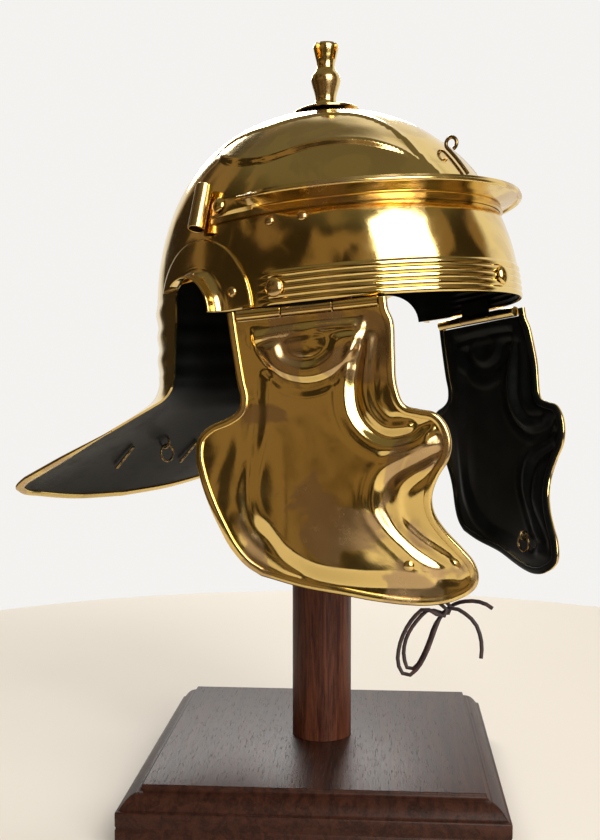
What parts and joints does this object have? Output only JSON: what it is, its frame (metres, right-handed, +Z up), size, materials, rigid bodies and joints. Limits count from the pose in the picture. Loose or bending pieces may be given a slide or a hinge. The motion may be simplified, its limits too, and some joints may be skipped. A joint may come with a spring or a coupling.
{
  "type": "roman legionary helmet on a wooden stand",
  "caption": "Brass infantry helmet with brow peak, ear guards, hinged cheek pieces, ribbed nape, sloped neck guard and crest knob, set on a wooden post with a square base.",
  "frame": {"origin": "on the stand post's axis, at the underside of the base", "axes": "+Z up, the helmet faces -Y, +X to its wearer's left"},
  "size_m": [0.3096, 0.3505, 0.476],
  "materials": {
    "brass": "polished sheet brass with light tarnish, painted black on the inside",
    "dark_brass": "darkened brass wire",
    "wood": "dark red-brown stained hardwood, satin varnish",
    "thong": "dark brown leather thong"
  },
  "bodies": {
    "helmet_on_stand": {"bowl": "brass", "brow_peak": "brass", "knob_disc": "brass", "crest_knob": "brass", "crest_hook": "dark_brass", "plume_tube_right": "brass", "plume_tube_left": "brass", "ear_guard_right": "brass", "ear_guard_left": "brass", "band_rivet_front": "brass", "band_rivet_right": "brass", "band_rivet_left": "brass", "bowl_rivet_front_right": "brass", "bowl_rivet_front_left": "brass", "bowl_rivet_rear_right": "brass", "bowl_rivet_rear_left": "brass", "ear_guard_rivet_right": "brass", "ear_guard_rivet_left": "brass", "peak_rivet_right": "brass", "peak_rivet_left": "brass", "guard_edging": "brass", "handle_pin_eye_right": "dark_brass", "handle_pin_eye_left": "dark_brass", "handle_pin_legs_right": "dark_brass", "handle_pin_legs_left": "dark_brass", "guard_staple": "dark_brass", "guard_ring": "dark_brass", "hinge_leaf_right": "brass", "hinge_leaf_left": "brass", "hinge_pin_right": "dark_brass", "hinge_pin_left": "dark_brass", "stand_post": "wood", "stand_base": "wood"},
    "right_cheek": {"cheek_right": "brass", "cheek_edging_right": "brass", "cheek_barrel_front_right": "brass", "cheek_barrel_rear_right": "brass", "cheek_rivet_right": "brass", "cheek_eye_right": "dark_brass", "cheek_ring_right": "dark_brass", "thong_outer_loop": "thong", "thong_inner_loop": "thong"},
    "left_cheek": {"cheek_left": "brass", "cheek_edging_left": "brass", "cheek_barrel_front_left": "brass", "cheek_barrel_rear_left": "brass", "cheek_rivet_left": "brass", "cheek_eye_left": "dark_brass", "cheek_ring_left": "dark_brass"},
    "carrying_handle": {"guard_handle": "brass"}
  },
  "joints": [
    {"name": "right_cheek_swing", "type": "hinge", "parent": "helmet_on_stand", "child": "right_cheek", "pos_m": [-0.09023, -0.05899, 0.3042], "axis": [-0.3746, 0.9231, -0.0873], "range_deg": [-12, 90]},
    {"name": "left_cheek_swing", "type": "hinge", "parent": "helmet_on_stand", "child": "left_cheek", "pos_m": [0.09023, -0.05899, 0.3042], "axis": [-0.3746, -0.9231, 0.0873], "range_deg": [-12, 90]},
    {"name": "handle_lift", "type": "hinge", "parent": "helmet_on_stand", "child": "carrying_handle", "pos_m": [0, 0.15875, 0.21366], "axis": [-1, 0, 0], "range_deg": [0, 160]}
  ]
}
